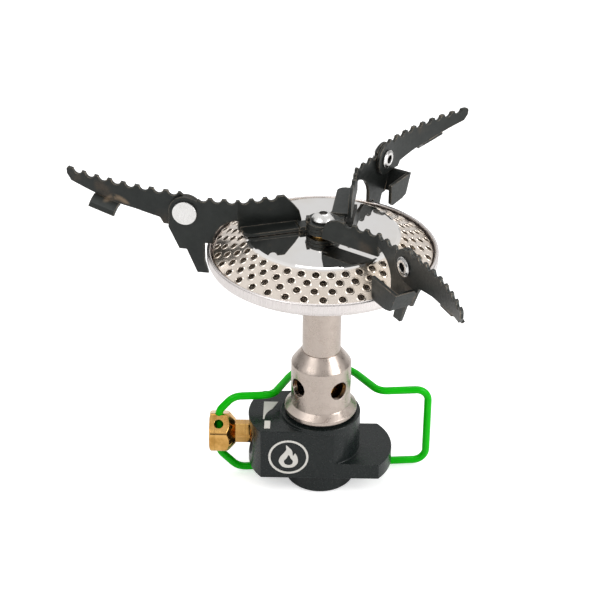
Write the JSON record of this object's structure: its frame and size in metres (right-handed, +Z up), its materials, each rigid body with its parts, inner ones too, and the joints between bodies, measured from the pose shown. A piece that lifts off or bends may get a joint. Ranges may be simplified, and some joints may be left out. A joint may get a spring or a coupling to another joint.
{
  "type": "camping stove",
  "caption": "Compact screw-on gas camping stove with a perforated burner head, folding toothed pot supports and a folding wire valve handle.",
  "frame": {"origin": "centre of the canister thread at its mouth, the lowest face of the valve body", "axes": "+Z up along the stem, -X towards the valve knob, -Y towards the badge side of the valve body"},
  "size_m": [0.1028, 0.1125, 0.0844],
  "materials": {
    "black_anodised": "satin black anodised",
    "brass": "turned and lightly polished",
    "turned_metal": "turned, satin",
    "pan_metal": "spun, fine vertical grain",
    "cap_metal": "polished",
    "blackened_steel": "blackened, rubbed at the edges",
    "green_coat": "gloss powder coat",
    "bright_steel": "bright",
    "dark_steel": "dark",
    "woven_steel": "woven mesh",
    "rubber": "matte",
    "print": "thin matte print"
  },
  "bodies": {
    "stove": {"valve_body": "black_anodised", "canister_seal": "rubber", "valve_pin": "brass", "inlet_filter": "woven_steel", "spindle_seal": "rubber", "gland_nut": "brass", "chamber_gasket": "rubber", "jet": "brass", "mixing_chamber": "turned_metal", "stem_tube": "turned_metal", "burner_pan": "pan_metal", "burner_cap": "cap_metal", "flame_mesh": "woven_steel", "cap_nut": "bright_steel", "pivot_screw": "bright_steel", "pivot_washer": "brass", "spring_washer": "dark_steel", "front_badge": "print", "flow_marks": "print"},
    "spindle": {"valve_spindle": "brass"},
    "handle": {"wire_handle": "green_coat"},
    "left_leg": {"leg_left": "blackened_steel", "rivet_left": "bright_steel", "wave_washer_left": "dark_steel"},
    "left_arm": {"arm_left": "blackened_steel"},
    "front_leg": {"leg_front": "blackened_steel", "rivet_front": "bright_steel", "wave_washer_front": "dark_steel"},
    "front_arm": {"arm_front": "blackened_steel"},
    "back_leg": {"leg_back": "blackened_steel", "rivet_back": "bright_steel", "wave_washer_back": "dark_steel"},
    "back_arm": {"arm_back": "blackened_steel"}
  },
  "joints": [
    {"name": "valve_turn", "type": "hinge", "parent": "stove", "child": "spindle", "pos_m": [-0.02, 0, 0.0131], "axis": [1, 0, 0], "range_deg": [-8, 8]},
    {"name": "handle_swing", "type": "hinge", "parent": "spindle", "child": "handle", "pos_m": [-0.0263, 0, 0.0131], "axis": [0, 0, 1], "range_deg": [-2, 170]},
    {"name": "left_leg_swivel", "type": "hinge", "parent": "stove", "child": "left_leg", "pos_m": [0, 0, 0.0732], "axis": [0, 0, 1], "range_deg": [-55, 8]},
    {"name": "front_leg_swivel", "type": "hinge", "parent": "stove", "child": "front_leg", "pos_m": [0, 0, 0.0752], "axis": [0, 0, 1], "range_deg": [-8, 60]},
    {"name": "back_leg_swivel", "type": "hinge", "parent": "stove", "child": "back_leg", "pos_m": [0, 0, 0.0751], "axis": [0, 0, 1], "range_deg": [-15, 15]},
    {"name": "left_arm_fold", "type": "hinge", "parent": "left_leg", "child": "left_arm", "pos_m": [-0.03375, 0.00182, 0.07625], "axis": [0.1409, 0.99, 0], "range_deg": [0, 145]},
    {"name": "front_arm_fold", "type": "hinge", "parent": "front_leg", "child": "front_arm", "pos_m": [0.02, -0.02725, 0.07825], "axis": [-0.8549, -0.5188, 0], "range_deg": [0, 145]},
    {"name": "back_arm_fold", "type": "hinge", "parent": "back_leg", "child": "back_arm", "pos_m": [0.01494, 0.03032, 0.07815], "axis": [0.8549, -0.5188, 0], "range_deg": [0, 145]}
  ]
}
